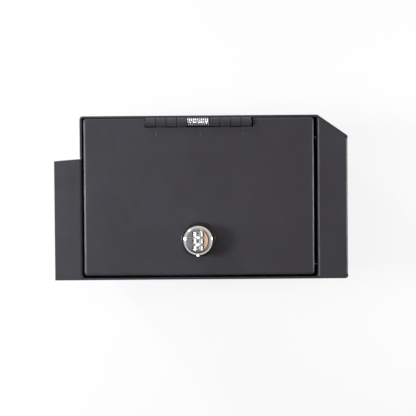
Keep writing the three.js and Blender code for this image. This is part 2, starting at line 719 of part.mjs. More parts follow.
function lockHead() {
  const fillet = roundedPoints([
    [headRadius, headBottom],
    [headRadius, faceZ, HEAD_FILLET],
    [headRadius - HEAD_FILLET - HEAD_RIM, faceZ],
  ], false).map(({ x, y }) => [x, y]);
  const shell = turned([
    [0, headBottom],
    [headRadius - SHEET / 4, headBottom],
    [headRadius, headBottom + SHEET / 4],
    ...fillet.slice(1),
    [(headRadius - HEAD_FILLET - HEAD_RIM) / 2, faceZ + HEAD_DOME * 0.75],
    [0, faceZ + HEAD_DOME],
  ], 64);
  const nub = prism(
    roundedPoints([
      [-NUB_WIDTH / 2, -nubEnd, NUB_WIDTH / 4],
      [NUB_WIDTH / 2, -nubEnd, NUB_WIDTH / 4],
      [NUB_WIDTH / 2, -headRadius + HEAD_WALL / 2],
      [-NUB_WIDTH / 2, -headRadius + HEAD_WALL / 2],
    ]),
    'z', axleZ - NUB_WIDTH / 2 - HEAD_WALL / 2, faceZ - NUB_DROP,
  );
  const recess = rod(plateRadius + SEAT_GAP, headBottom - CUT_MARGIN, plateTop + SEAT_GAP, ROUND_SEGMENTS);
  const slots = dialPlaces.flatMap((place) => {
    const depth = [place - slotHalfDepth, place + slotHalfDepth];
    return [
      alongY(rod(slotHalfWidth, ...depth, ROUND_SEGMENTS)).translate(0, 0, axleZ),
      box([-slotHalfWidth, slotHalfWidth], depth, [plateTop, axleZ]),
    ];
  });
  const axleHole = alongY(rod(AXLE_RADIUS + TURN_GAP, axleEnd - SEAT_GAP, headRadius + CUT_MARGIN))
    .translate(0, 0, axleZ);
  const resetBottom = faceZ - RESET_DEPTH - RESET_PIN_LENGTH - RESET_TRAVEL - SEAT_GAP;
  const resetHole = rod(resetHoleRadius, resetBottom, faceZ + CUT_MARGIN).translate(0, resetY, 0);
  return cut(join(shell, nub), recess, ...slots, axleHole, resetHole);
}

function lockSpindle() {
  const shaftBottom = camTop + SEAT_GAP;
  const plate = rod(plateRadius, headBottom, plateTop, ROUND_SEGMENTS);
  const shaft = rod(SPINDLE_RADIUS, shaftBottom, plateTop);
  const half = SPINDLE_SQUARE / 2;
  const square = box([-half, half], [-half, half], [camBottom + SEAT_GAP, shaftBottom + SEAT_GAP]);
  const threadHole = rod(SCREW_RADIUS + TURN_GAP, camBottom - CUT_MARGIN, screwHeadTop + SCREW_LENGTH + 1);
  return cut(join(plate, shaft, square), threadHole);
}

function dialAxle() {
  return alongY(rod(AXLE_RADIUS, axleEnd, headRadius - 2 * SEAT_GAP));
}

// A dial about its own middle: ten flats for the digits, with a grip groove between each two.
function dial() {
  const sector = (2 * Math.PI) / DIAL_DIGITS;
  const grooveHalf = DIAL_GROOVE / 2 / DIAL_RADIUS;
  const outline = Array.from({ length: DIAL_DIGITS }, (_, digit) => {
    const corner = (digit + 0.5) * sector + Math.PI / 2;
    const place = (angle, radius) =>
      new THREE.Vector2(radius * Math.cos(angle), radius * Math.sin(angle));
    return [
      place(corner - grooveHalf, DIAL_RADIUS),
      place(corner, DIAL_RADIUS - DIAL_GROOVE_DEPTH),
      place(corner + grooveHalf, DIAL_RADIUS),
    ];
  }).flat();
  const half = DIAL_THICKNESS / 2;
  return prism(outline, 'y', -half, half, [circlePoints(AXLE_RADIUS + TURN_GAP, SMALL_SEGMENTS)]);
}

function resetPin() {
  const chamfer = RESET_PIN_RADIUS / 4;
  return turned([
    [0, -RESET_PIN_LENGTH],
    [RESET_PIN_RADIUS, -RESET_PIN_LENGTH],
    [RESET_PIN_RADIUS, -chamfer],
    [RESET_PIN_RADIUS - chamfer, 0],
    [0, 0],
  ], SMALL_SEGMENTS);
}

// The cam points to -X while the lid is free, and a quarter turn brings it under the keeper.
function lockCam() {
  const tip = camReach - CAM_TIP_RADIUS;
  const lean = Math.asin((CAM_HUB_RADIUS - CAM_TIP_RADIUS) / tip);
  const arc = (centreX, radius, from, to) => Array.from({ length: CAM_ARC_STEPS + 1 }, (_, step) => {
    const angle = from + ((to - from) * step) / CAM_ARC_STEPS;
    return new THREE.Vector2(centreX + radius * Math.cos(angle), radius * Math.sin(angle));
  });
  const square = SPINDLE_SQUARE / 2 + SEAT_GAP;
  const outline = [
    ...arc(0, CAM_HUB_RADIUS, -Math.PI / 2 - lean, Math.PI / 2 + lean),
    ...arc(-tip, CAM_TIP_RADIUS, Math.PI / 2 + lean, (3 * Math.PI) / 2 - lean),
  ];
  const hole = [[-square, -square], [square, -square], [square, square], [-square, square]];
  return prism(outline, 'z', camBottom, camTop, [roundedPoints(hole)]);
}

function camWasher() {
  const holeRadius = SCREW_RADIUS + TURN_GAP;
  return turned([
    [holeRadius, camWasherTop - CAM_WASHER_THICKNESS],
    [CAM_WASHER_RADIUS, camWasherTop - CAM_WASHER_THICKNESS],
    [CAM_WASHER_RADIUS, camWasherTop],
    [holeRadius, camWasherTop],
  ], SMALL_SEGMENTS);
}

function camScrew() {
  const headBottomZ = screwHeadTop - SCREW_HEAD_HEIGHT;
  const body = turned([
    [0, headBottomZ],
    [SCREW_HEAD_RADIUS * 0.7, headBottomZ],
    [SCREW_HEAD_RADIUS, headBottomZ + SCREW_HEAD_HEIGHT * 0.4],
    [SCREW_HEAD_RADIUS, screwHeadTop],
    [SCREW_RADIUS, screwHeadTop],
    [SCREW_RADIUS, screwHeadTop + SCREW_LENGTH],
    [0, screwHeadTop + SCREW_LENGTH],
  ], SMALL_SEGMENTS);
  const slot = box(
    [-SCREW_SLOT / 2, SCREW_SLOT / 2],
    [-SCREW_HEAD_RADIUS, SCREW_HEAD_RADIUS],
    [headBottomZ - CUT_MARGIN, headBottomZ + SCREW_SLOT],
  );
  return cut(body, slot);
}

// Materials and assembly

const powderCoat = { color: 0x3d3c41, roughness: 0.55, metalness: 0.1 };
const chrome = { color: 0xd4d4d6, roughness: 0.08, metalness: 1 };
const brightZinc = { color: 0xd9dade, roughness: 0.25, metalness: 1 };
const dullZinc = { color: 0xa9abad, roughness: 0.45, metalness: 1 };
const blackTrim = { color: 0x161618, roughness: 0.35, metalness: 0.3 };

function mesh(name, geometry, material) {
  const part = new THREE.Mesh(geometry, new THREE.MeshStandardMaterial(material));
  part.name = name;
  return part;
}

function boxGroup() {
  const group = new THREE.Group();
  group.add(
    mesh('front_panel', frontPanel(), powderCoat),
    mesh('back_panel', backPanel(), powderCoat),
    mesh('left_panel', leftPanel(), powderCoat),
    mesh('right_panel', rightPanel(), powderCoat),
    mesh('bottom_plate', bottomPlate(), powderCoat),
    mesh('latch_keeper', latchKeeper(), powderCoat),
  );
  return group;
}

function hingeGroup() {
  const group = new THREE.Group();
  group.position.set(lidMiddle, hingeY, hingeZ);
  group.add(
    mesh('hinge_body_leaf', hingeBodyLeaf(), powderCoat),
    mesh('hinge_lid_leaf', hingeLidLeaf(), powderCoat),
    mesh('hinge_pin', hingePin(), dullZinc),
    mesh('hinge_spring', hingeSpring(), brightZinc),
  );
  return group;
}

function lockGroup() {
  const group = new THREE.Group();
  group.position.set(lockX, lockY, lidTop);
  group.add(
    mesh('lock_base_ring', lockBaseRing(), blackTrim),
    mesh('lock_barrel', lockBarrel(), dullZinc),
    mesh('lock_washer', lockWasher(), dullZinc),
    mesh('lock_nut', lockNut(), dullZinc),
    mesh('lock_head', lockHead(), chrome),
    mesh('lock_spindle', lockSpindle(), dullZinc),
    mesh('dial_axle', dialAxle().translate(0, 0, axleZ), dullZinc),
    mesh('lock_cam', lockCam(), dullZinc),
    mesh('cam_washer', camWasher(), dullZinc),
    mesh('cam_screw', camScrew(), dullZinc),
  );
  dialPlaces.forEach((place, index) => {
    const wheel = mesh(`dial_${index + 1}`, dial(), chrome);
    wheel.position.set(0, place, axleZ);
    group.add(wheel);
  });
  const pin = mesh('reset_pin', resetPin(), blackTrim);
  pin.position.set(0, resetY, faceZ - RESET_DEPTH);
  group.add(pin);
  return group;
}

const safe = new THREE.Group();
safe.add(boxGroup(), mesh('lid_panel', lidPanel(), powderCoat), hingeGroup(), lockGroup());

export default safe;
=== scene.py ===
import json
import math

import bmesh
import bpy
from mathutils import Matrix, Vector


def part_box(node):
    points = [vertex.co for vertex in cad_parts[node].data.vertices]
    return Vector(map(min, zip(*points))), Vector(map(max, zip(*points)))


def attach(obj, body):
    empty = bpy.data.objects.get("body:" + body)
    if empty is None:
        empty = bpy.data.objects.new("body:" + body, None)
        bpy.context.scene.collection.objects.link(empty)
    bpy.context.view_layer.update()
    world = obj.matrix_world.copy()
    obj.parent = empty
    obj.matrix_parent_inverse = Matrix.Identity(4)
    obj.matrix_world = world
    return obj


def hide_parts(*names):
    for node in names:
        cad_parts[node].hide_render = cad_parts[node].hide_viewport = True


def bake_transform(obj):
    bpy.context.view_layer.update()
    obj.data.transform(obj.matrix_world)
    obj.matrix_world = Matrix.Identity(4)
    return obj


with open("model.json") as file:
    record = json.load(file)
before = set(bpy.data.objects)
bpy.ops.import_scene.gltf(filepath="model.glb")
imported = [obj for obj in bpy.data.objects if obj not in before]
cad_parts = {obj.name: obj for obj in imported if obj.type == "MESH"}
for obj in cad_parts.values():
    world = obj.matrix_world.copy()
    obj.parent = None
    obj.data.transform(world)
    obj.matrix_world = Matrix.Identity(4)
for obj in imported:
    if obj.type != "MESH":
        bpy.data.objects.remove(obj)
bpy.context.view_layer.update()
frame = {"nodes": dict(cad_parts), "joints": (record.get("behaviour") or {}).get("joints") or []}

MM = 0.001
X, Y, Z = Vector((1, 0, 0)), Vector((0, 1, 0)), Vector((0, 0, 1))
TINY = 0.02 * MM             # places closer than this are one
ALONG = 0.9                  # least cosine of an edge or normal that runs along an axis
ACROSS = 0.1                 # greatest cosine of one that runs across it
CUT_MARGIN = 1 * MM          # how far a cutting tool stands out
SHARP_ANGLE = 35             # degrees at an edge over which it gets softened
SMOOTH_ANGLE = 32            # degrees at an edge under which it is shaded smooth

# Sheet metal
SHEET = 2 * MM
FOLD = 2.6 * MM              # outside radius of a folded edge
CORNER = 3.2 * MM            # outside radius of an upright corner
INNER_CORNER = 1.3 * MM
ROUND_STEPS = 6
CUT_EDGE = 0.25 * MM         # rounding of cut edges under the paint
SEAM = 0.06 * MM             # hairline left at a welded seam
CORNER_RETURN = 4 * MM       # how far the front and back walls run round each corner
CLIP_RETURN = 2.4 * MM       # the same, past the end of the cut-off corner
CLIP_WIDTH = 30.3 * MM       # the cut-off corner, along X
CLIP_DEPTH = 21.1 * MM       # the cut-off corner, along Y
RELIEF = 1.4 * MM            # width of the cut at the end of the flange's fold
FLANGE_LENGTH = 121.2 * MM
FLANGE_SLANT = 2 * MM
FLANGE_CORNER = 0.5 * MM
FLANGE_OVERLAP = 0.4 * MM    # where the flange's end is welded round the front corner
WING_LIP = 14 * MM

WELD_LINE = 12 * MM          # of the weld marks on the lid, in front of the hinge
WELD_WIDTH = 1.4 * MM
WELD_TURN = 0.4              # radians off the box's depth
WELD_MARKS = (               # place along the hinge, length and height
    (-42 * MM, 5 * MM, 0.4 * MM), (2.2 * MM, 4 * MM, 0.35 * MM), (45 * MM, 4 * MM, 0.15 * MM),
)

# Hinge
KNUCKLE = 4.5 * MM           # outside radius
LEAF_WIDTH = 25 * MM         # from the pin's middle
LEAF_CUT_BACK = 5 * MM       # of the leaf between its knuckles, from the pin's middle
NOTCH_GAPS = (0.6 * MM, 1.6 * MM)   # of the lid's notch, left and right of the barrel
NOTCH_FRONT = 5.1 * MM       # from the pin's middle to the notch's front edge
KNUCKLE_GAP = 0.6 * MM
SPRING_SPAN = (-11.35 * MM, 10.85 * MM)   # ends of the spring's room, from the hinge's middle
KNUCKLES_PER_SIDE = 4
ROLL_TURN = math.radians(312)   # of a tongue round the pin
ROLL_STEPS = 40
WIRE = 0.8 * MM              # radius
COIL = 3.6 * MM              # radius to the wire's middle
COIL_TURNS = 10.75
COIL_STEPS = 32              # in a turn
COIL_ANGLE = 50              # degrees at an edge of the wire under which it is shaded smooth
FLAT_TURNS = 0.15            # wound flat at each end
TAIL_BEND = 1.2 * MM         # radius between the coil and a straight end
BEND_STEPS = 6
TAIL_LENGTH = 2 * MM         # of a straight end
TAIL_ROOM = 0.3 * MM         # between it and the sides of its slot
TAIL_SLOT_ROUND = 0.8        # rounding of the slot's floor, as a share of its half width
TAIL_ANGLES = (math.radians(-45), math.radians(-135))   # left and right, from the back upward
LEAF_EDGE = 0.3 * MM         # rounding of a leaf's cut edges

# Lock
RING_HOLE = 9.3 * MM         # radius, in the base ring and the lid
RING_SLOPE = (1.1 * MM, 0.3 * MM)              # in and down, at the base ring's top edge
RING_ROUNDS = (0.3 * MM, 0.5 * MM, 0.4 * MM)   # of its foot and of the slope's two ends
# How steep the head's face is, in degrees, at each share of its radius
HEAD_SLOPES = (
    (0, 0), (0.64, 2), (0.74, 8), (0.84, 20), (0.875, 36), (0.965, 46), (0.99, 66), (1, 84),
)
HEAD_STEPS = 44              # in the whole radius
LOCK_STEPS = 128             # round the head and the base ring
HEAD_RISE = 0.3 * MM         # of the face's middle over the height given by the dials
HEAD_UNDERCUT = 1.8 * MM     # depth of the recess for the spindle's plate
HEAD_CHAMFER = 0.3 * MM      # at the bottom edge
PLATE_GAP = 0.3 * MM         # round the spindle's plate
NUB_HALF = 1.6 * MM          # half width
NUB_ROOT = 1 * MM            # how far the nub reaches into the head
NUB_HEIGHTS = (-2 * MM, -1.2 * MM)   # of its foot from the dials' middle, of its top from the face
NUB_ROUNDS = (0.5 * MM, 0.35 * MM)   # of its upright edges and of its top
RESET_HOLE = 1 * MM          # radius
RESET_HOLE_ENDS = (-3 * MM, 4 * MM)  # from the reset pin's middle
AXLE_HOLE_ENDS = (-0.3 * MM, 40 * MM)
SLOT_RADIUS = 8.6 * MM       # of the room for a dial
SLOT_HALF = 2.3 * MM         # half width
WINDOW_EDGE = 0.18 * MM
WINDOW_ANGLE = 40            # degrees at an edge of the head over which it gets softened
HEAD_ANGLE = 30              # and under which it is shaded smooth
DIAL_BODIES = ("first_dial", "second_dial", "third_dial")
DIAL_RADIUS = 8.2 * MM
DIAL_HALF = 2.1 * MM         # half width
DIAL_SHOWS = 2 * MM          # how far a dial stands out of the face
DIAL_EDGE = 0.14 * MM
DIAL_ANGLE = 25              # degrees at an edge of a dial over which it gets softened
DIGITS = 10
GROOVE_HALF = 0.45 * MM
GROOVE_DEPTH = 0.5 * MM
DIGIT_HEIGHT = 3.3 * MM
DIGIT_OF_FONT = 0.7          # a digit's height as a share of the font's size
DIGIT_NARROWING = 0.66
DIGIT_PAINT = 0.03 * MM      # half the paint's thickness
DIGIT_LIFT = 0.06 * MM       # of the paint's middle over the flat
DIGIT_BOLD = 0.2 * MM
AXLE_HOLE = 1.5 * MM         # radius
ROUND_THE_HOLE = 0.4         # greatest cosine between its edges and the way out from its middle
CAD_EDGE = 0.15 * MM         # rounding of the CAD nodes that keep their shape

NOISE_RANGE = (0.3, 0.7)     # what most of a noise lies between

# Stage
FLOOR_SIZE = 8
FLOOR_GAP = 0.2 * MM         # under the object
FLOOR_COLOR = (0.9, 0.9, 0.9, 1)
FLOOR_GLOW = 0.8             # share of plain white in what the camera and mirrors see of it
WHITE = (1, 1, 1, 1)
TENT_LIGHT = 0.3             # on matt surfaces
# Between two heights or depths of a ray's direction, the tent goes from one value to another
TENT_BY_HEIGHT = (0.6, 0.97, 0.75, 0.27)       # light in mirrors
TENT_BY_DEPTH = (-0.6, -0.15, 0.12, 1.0)       # share left, from the front to the middle
TENT_LOW_BAND = (0.2, 0.32, 1.0, 0.0)          # least share, near the floor
AIM = (0, 0, 0.15)
LAMPS = (                    # name, place, size, power and whether shiny pieces mirror it
    ("left_box", (-1.34, 0.0, 1.2), 0.3, 16, True),
    ("back_left_box", (-1.16, 1.16, 0.59), 0.3, 12, True),
    ("right_strip", (0.62, 0.0, 0.22), 0.07, 2.1, True),
    ("left_strip", (-0.6, 0.0, 0.22), 0.07, 1.2, True),
    ("left_near_box", (-0.5, 0.0, 0.75), 0.3, 1.35, False),
)
CARDS = (                    # name, place, size, colour and strength
    ("lock_strip", (-0.022, -0.14, 1.6), (0.018, 0.17), (1, 1, 1), 8),
    ("warm_card", (0.12, 0.1, 1.6), (0.1, 0.9), (1.0, 0.62, 0.44), 1.15),
    ("red_card", (0.3, 0.1, 1.6), (0.2, 0.9), (0.5, 0.14, 0.09), 0.35),
    ("far_warm_card", (0.77, 0.1, 1.6), (0.17, 0.9), (1.0, 0.62, 0.44), 0.8),
)
CAMERA_OVER = (0.0068, -0.0105, 0.151)
CAMERA_REACH = 0.868
CAMERA_TILT = math.radians(1.1)
CAMERA_ROLL = math.radians(0.45)
CAMERA_LENS = 75.26
CAMERA_SENSOR = 36

joints = {joint["name"]: joint for joint in frame["joints"]}
hinge_axis = Vector(joints["lid_hinge"]["pos_m"])
lock_axis = Vector(joints["knob_turn"]["pos_m"])
dial_middles = [Vector(joints[f"dial_{number}_turn"]["pos_m"]) for number in (1, 2, 3)]

front_low, front_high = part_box("front_panel")
flange_low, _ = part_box("left_panel")
lid_low, lid_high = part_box("lid_panel")
wall_left, wall_right = front_low.x, front_high.x
wall_front, rim = front_low.y, front_high.z
wall_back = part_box("back_panel")[1].y
wing_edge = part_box("right_panel")[0].x
clip = Vector((wall_right - CLIP_WIDTH, wall_back - CLIP_DEPTH, 0))
flange_back = wall_front + FLANGE_LENGTH
hinge_half = (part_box("hinge_body_leaf")[1].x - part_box("hinge_body_leaf")[0].x) / 2


# Modelling by hand

def deselect():
    bpy.ops.object.select_all(action="DESELECT")


def open_piece(name):
    """Names the primitive just added, settles its place and opens it for shaping."""
    piece = bpy.context.active_object
    piece.name = piece.data.name = name
    bpy.ops.object.transform_apply(location=True, rotation=True, scale=True)
    bpy.ops.object.mode_set(mode="EDIT")
    return piece


def start_block(name, low, high):
    deselect()
    bpy.ops.mesh.primitive_cube_add(size=1, location=(low + high) / 2)
    bpy.context.active_object.scale = high - low
    return open_piece(name)


def start_plate(name, low, high):
    """A flat rectangle between two corners that share one coordinate."""
    size = high - low
    turns = {"x": (math.pi / 2, 0, math.pi / 2), "y": (math.pi / 2, 0, 0), "z": (0, 0, 0)}
    thin = min("xyz", key=lambda axis: getattr(size, axis))
    wide = {"x": (size.y, size.z), "y": (size.x, size.z), "z": (size.x, size.y)}[thin]
    deselect()
    bpy.ops.mesh.primitive_plane_add(size=1, location=(low + high) / 2, rotation=turns[thin])
    bpy.context.active_object.scale = (*wide, 1)
    return open_piece(name)


def pick(kind, test):
    """Selects the open piece's vertices, edges or faces that pass a test of their middle and their
    normal, which for an edge is its direction."""
    bpy.ops.mesh.select_mode(type={"verts": "VERT", "edges": "EDGE", "faces": "FACE"}[kind])
    bpy.ops.mesh.select_all(action="DESELECT")
    mesh = bmesh.from_edit_mesh(bpy.context.edit_object.data)
    mesh.normal_update()
    for part in getattr(mesh, kind):
        if kind == "faces":
            chosen = test(part.calc_center_median(), part.normal)
        elif kind == "edges":
            start, end = (vertex.co for vertex in part.verts)
            chosen = test((start + end) / 2, (end - start).normalized())
        else:
            chosen = test(part.co, part.normal)
        if chosen:
            part.select_set(True)
    mesh.select_flush_mode()
    bmesh.update_edit_mesh(bpy.context.edit_object.data)


def near(value, target):
    return abs(value - target) < TINY


def upright_at(x, y):
    """Test for the upright edges over one spot of the plan."""
    return lambda spot, run: near(spot.x, x) and near(spot.y, y) and abs(run.z) > ALONG


def pull(move):
    bpy.ops.mesh.extrude_region_move(TRANSFORM_OT_translate={"value": move})


def pull_edges(test, move):
    pick("edges", test)
    pull(move)


def shift(test, move):
    pick("verts", lambda spot, _: test(spot))
    bpy.ops.transform.translate(value=move)


def round_edges(test, radius, steps=ROUND_STEPS):
    pick("edges", test)
    bpy.ops.mesh.bevel(offset=radius, segments=steps, profile=0.5, affect="EDGES",
                       clamp_overlap=False)


def round_corner(test, radius, steps=4):
    pick("verts", lambda spot, _: test(spot))
    bpy.ops.mesh.bevel(offset=radius, segments=steps, profile=0.5, affect="VERTICES",
                       clamp_overlap=False)


def slice_at(spot, normal, clear=False):
    bpy.ops.mesh.select_all(action="SELECT")
    bpy.ops.mesh.bisect(plane_co=spot, plane_no=normal, clear_outer=clear)


def drop_faces(test):
    pick("faces", test)
    bpy.ops.mesh.delete(type="FACE")


def tidy_faces(outward=None):
    """Merges doubled points and turns the faces outward; a sheet is told which way is out."""
    bpy.ops.mesh.select_all(action="SELECT")
    bpy.ops.mesh.remove_doubles(threshold=TINY / 10)
    bpy.ops.mesh.normals_make_consistent(inside=False)
    if outward is None:
        return
    mesh = bmesh.from_edit_mesh(bpy.context.edit_object.data)
    mesh.normal_update()
    widest = max(mesh.faces, key=lambda face: face.calc_area())
    if widest.normal.dot(outward) < 0:
        bpy.ops.mesh.flip_normals()


def close_piece():
    bpy.ops.object.mode_set(mode="OBJECT")


def finish_with(piece, kind, **settings):
    """Adds a modifier and applies it."""
    deselect()
    piece.select_set(True)
    bpy.context.view_layer.objects.active = piece
    modifier = piece.modifiers.new(kind.title(), kind)
    for name, value in settings.items():
        setattr(modifier, name, value)
    bpy.ops.object.modifier_apply(modifier=modifier.name)


def thicken(piece):
    finish_with(piece, "SOLIDIFY", thickness=SHEET, offset=-1, use_even_offset=True,
                use_quality_normals=True)


def soften(piece, width=CUT_EDGE, angle=SHARP_ANGLE):
    finish_with(piece, "BEVEL", width=width, segments=2, limit_method="ANGLE",
                angle_limit=math.radians(angle), use_clamp_overlap=True,
                miter_outer="MITER_ARC")


def smooth(piece, angle=SMOOTH_ANGLE):
    deselect()
    piece.select_set(True)
    bpy.context.view_layer.objects.active = piece
    bpy.ops.object.shade_smooth_by_angle(angle=math.radians(angle))
    finish_with(piece, "WEIGHTED_NORMAL", keep_sharp=True, weight=100)


def carve(piece, *tools):
    for tool in tools:
        finish_with(piece, "BOOLEAN", operation="DIFFERENCE", object=tool, solver="EXACT")
        bpy.data.objects.remove(tool)


def weld_on(piece, addition):
    finish_with(piece, "BOOLEAN", operation="UNION", object=addition, solver="EXACT")
    bpy.data.objects.remove(addition)


def place(piece, body, material, slot, *nodes, ride=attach):
    """Puts a finished piece on its body with its paint, in place of the CAD nodes named."""
    piece.data.materials.clear()
    piece.data.materials.append(material)
    ride(piece, body)
    if nodes:
        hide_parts(*nodes)


def turned(name, profile, middle, steps=96):
    """A profile of (radius, height) corners drawn point by point and spun about an upright axis."""
    deselect()
    bpy.ops.mesh.primitive_plane_add(size=MM, location=middle)
    piece = open_piece(name)
    bpy.ops.mesh.select_mode(type="VERT")
    bpy.ops.mesh.select_all(action="SELECT")
    bpy.ops.mesh.merge(type="CENTER")
    radius, height = profile[0]
    bpy.ops.transform.translate(value=(radius, 0, height))
    for (from_radius, from_height), (to_radius, to_height) in zip(profile, profile[1:]):
        pull((to_radius - from_radius, 0, to_height - from_height))
    bpy.ops.mesh.select_all(action="SELECT")
    bpy.ops.mesh.spin(steps=steps, angle=2 * math.pi, center=middle, axis=Z)
    tidy_faces()
    close_piece()
    return piece


def laid_along(piece, middle, direction):
    """Turns an upright piece about its middle until it runs along a direction."""
    turn = Z.rotation_difference(direction).to_matrix().to_4x4()
    piece.data.transform(Matrix.Translation(middle) @ turn @ Matrix.Translation(-middle))
    return piece


def rod(name, middle, direction, radius, start, end, steps=64):
    """A plain cutting tool along a direction."""
    profile = [(0, start), (radius, start), (radius, end), (0, end)]
    return laid_along(turned(name, profile, middle, steps), middle, direction)


def rounded_profile(corners, steps=8):
    """Corners of (radius, height, rounding), with each rounding drawn as an arc."""
    points = []
    for index, (x, y, rounding) in enumerate(corners):
        corner = Vector((x, y))
        if not rounding:
            points.append((x, y))
            continue
        before = (Vector(corners[index - 1][:2]) - corner).normalized()
        after = (Vector(corners[index + 1][:2]) - corner).normalized()
        half = before.angle(after) / 2
        centre = corner + (before + after).normalized() * rounding / math.sin(half)
        start = corner + before * rounding / math.tan(half) - centre
        end = corner + after * rounding / math.tan(half) - centre
        for step in range(steps + 1):
            share = step / steps
            spread = math.pi - 2 * half
            arc = start * math.sin((1 - share) * spread) + end * math.sin(share * spread)
            points.append(tuple(centre + arc / math.sin(spread)))
    return points


# Finishes

# The recipes below give each noise as (scale, detail), each bump as (noise, strength, height)

def new_finish(name, color, metallic, roughness):
    material = bpy.data.materials.new(name)
    material.use_nodes = True
    shader = material.node_tree.nodes["Principled BSDF"]
    shader.inputs["Base Color"].default_value = (*color, 1)
    shader.inputs["Metallic"].default_value = metallic
    shader.inputs["Roughness"].default_value = roughness
    return material


def add_node(material, kind, **inputs):
    node = material.node_tree.nodes.new(kind)
    for name, value in inputs.items():
        node.inputs[name.replace("_", " ")].default_value = value
    return node


def wire(material, output, target):
    material.node_tree.links.new(output, target)


def feed(material, target, value):
    """Sets a node's input to a number, or wires another node's output to it."""
    if isinstance(value, bpy.types.NodeSocket):
        wire(material, value, target)
    else:
        target.default_value = value


def calculate(material, operation, first, second, clamp=False):
    node = add_node(material, "ShaderNodeMath")
    node.operation, node.use_clamp = operation, clamp
    feed(material, node.inputs[0], first)
    feed(material, node.inputs[1], second)
    return node.outputs["Value"]


def mapped(material, value, from_start, from_end, to_start, to_end):
    """A value that goes from one number to another while its source goes from start to end."""
    node = add_node(material, "ShaderNodeMapRange", From_Min=from_start, From_Max=from_end,
                    To_Min=to_start, To_Max=to_end)
    wire(material, value, node.inputs["Value"])
    return node.outputs["Result"]


def mixed(material, share, first, second):
    """A value that goes from the first to the second with the share."""
    node = add_node(material, "ShaderNodeMix")
    for name, value in (("Factor", share), ("A", first), ("B", second)):
        feed(material, node.inputs[name], value)
    return node.outputs["Result"]


def on_object(material, scale, detail=2.0, stretch=(1, 1, 1)):
    """Noise fixed to the piece, with grains of about 1 / scale metres."""
    coordinates = add_node(material, "ShaderNodeTexCoord")
    mapping = add_node(material, "ShaderNodeMapping", Scale=stretch)
    noise = add_node(material, "ShaderNodeTexNoise", Scale=scale, Detail=detail)
    wire(material, coordinates.outputs["Object"], mapping.inputs["Vector"])
    wire(material, mapping.outputs["Vector"], noise.inputs["Vector"])
    return noise.outputs["Fac"]


def vary_color(material, mask, dark, light):
    ramp = add_node(material, "ShaderNodeValToRGB")
    for element, position, color in zip(ramp.color_ramp.elements, NOISE_RANGE, (dark, light)):
        element.position, element.color = position, (*color, 1)
    shader = material.node_tree.nodes["Principled BSDF"]
    wire(material, mask, ramp.inputs["Fac"])
    wire(material, ramp.outputs["Color"], shader.inputs["Base Color"])


def vary_roughness(material, mask, smooth_value, rough_value):
    roughness = mapped(material, mask, *NOISE_RANGE, smooth_value, rough_value)
    shader = material.node_tree.nodes["Principled BSDF"]
    wire(material, roughness, shader.inputs["Roughness"])


def raise_grain(material, grains):
    """Bumps of (mask, strength, height) laid over each other."""
    last = None
    for mask, strength, height in grains:
        bump = add_node(material, "ShaderNodeBump", Strength=strength, Distance=height)
        wire(material, mask, bump.inputs["Height"])
        if last:
            wire(material, last, bump.inputs["Normal"])
        last = bump.outputs["Normal"]
    shader = material.node_tree.nodes["Principled BSDF"]
    wire(material, last, shader.inputs["Normal"])


def powder_coat_finish():
    material = new_finish("satin_powder_coat", (0.042, 0.040, 0.050), 0.0, 0.44)
    vary_color(material, on_object(material, 14, 3), (0.039, 0.037, 0.046), (0.046, 0.044, 0.054))
    vary_roughness(material, on_object(material, 90, 2), 0.4, 0.48)
    raise_grain(material, [
        (on_object(material, 260, 2), 0.22, 0.06 * MM),
        (on_object(material, 1500, 2), 0.3, 0.03 * MM),
    ])
    return material


def chrome_finish():
    material = new_finish("polished_chrome", (0.78, 0.78, 0.79), 1.0, 0.07)
    vary_roughness(material, on_object(material, 420, 3), 0.05, 0.12)
    raise_grain(material, [(on_object(material, 240, 1), 0.04, 0.02 * MM)])
    return material


def satin_chrome_finish():
    material = new_finish("satin_chrome", (0.9, 0.9, 0.9), 1.0, 0.22)
    vary_roughness(material, on_object(material, 900, 2), 0.2, 0.26)
    raise_grain(material, [(on_object(material, 1600, 1), 0.1, 0.01 * MM)])
    return material


def zinc_finish(name, dark, light, smooth_value, rough_value):
    material = new_finish(name, light, 1.0, rough_value)
    vary_color(material, on_object(material, 380, 3), dark, light)
    vary_roughness(material, on_object(material, 700, 2), smooth_value, rough_value)
    raise_grain(material, [(on_object(material, 1800, 2, (1, 1, 0.2)), 0.2, 0.02 * MM)])
    return material


def black_trim_finish():
    material = new_finish("semi_gloss_black", (0.012, 0.012, 0.014), 0.0, 0.3)
    vary_color(material, on_object(material, 200, 2), (0.009, 0.009, 0.010), (0.016, 0.016, 0.018))
    vary_roughness(material, on_object(material, 600, 2), 0.26, 0.36)
    raise_grain(material, [(on_object(material, 1300, 2), 0.12, 0.03 * MM)])
    return material


def digit_paint_finish():
    material = new_finish("black_digit_paint", (0.008, 0.008, 0.009), 0.0, 0.4)
    vary_roughness(material, on_object(material, 900, 2), 0.35, 0.5)
    return material


powder_coat = powder_coat_finish()
chrome = chrome_finish()
satin_chrome = satin_chrome_finish()
bright_zinc = zinc_finish("bright_zinc_wire", (0.66, 0.67, 0.69), (0.82, 0.83, 0.85), 0.16, 0.28)
dull_zinc = zinc_finish("dull_zinc_plate", (0.36, 0.37, 0.38), (0.50, 0.51, 0.52), 0.34, 0.5)
painted_pin = zinc_finish("painted_pin", (0.035, 0.035, 0.038), (0.05, 0.05, 0.055), 0.4, 0.55)
black_trim = black_trim_finish()
digit_paint = digit_paint_finish()


# Box

def finish_wall(piece, outward, node):
    """Gives an open folded sheet its thickness, soft edges and paint, in place of a CAD node."""
    tidy_faces(outward)
    close_piece()
    thicken(piece)
    soften(piece)
    smooth(piece)
    place(piece, "box", powder_coat, "powder_coat", node)


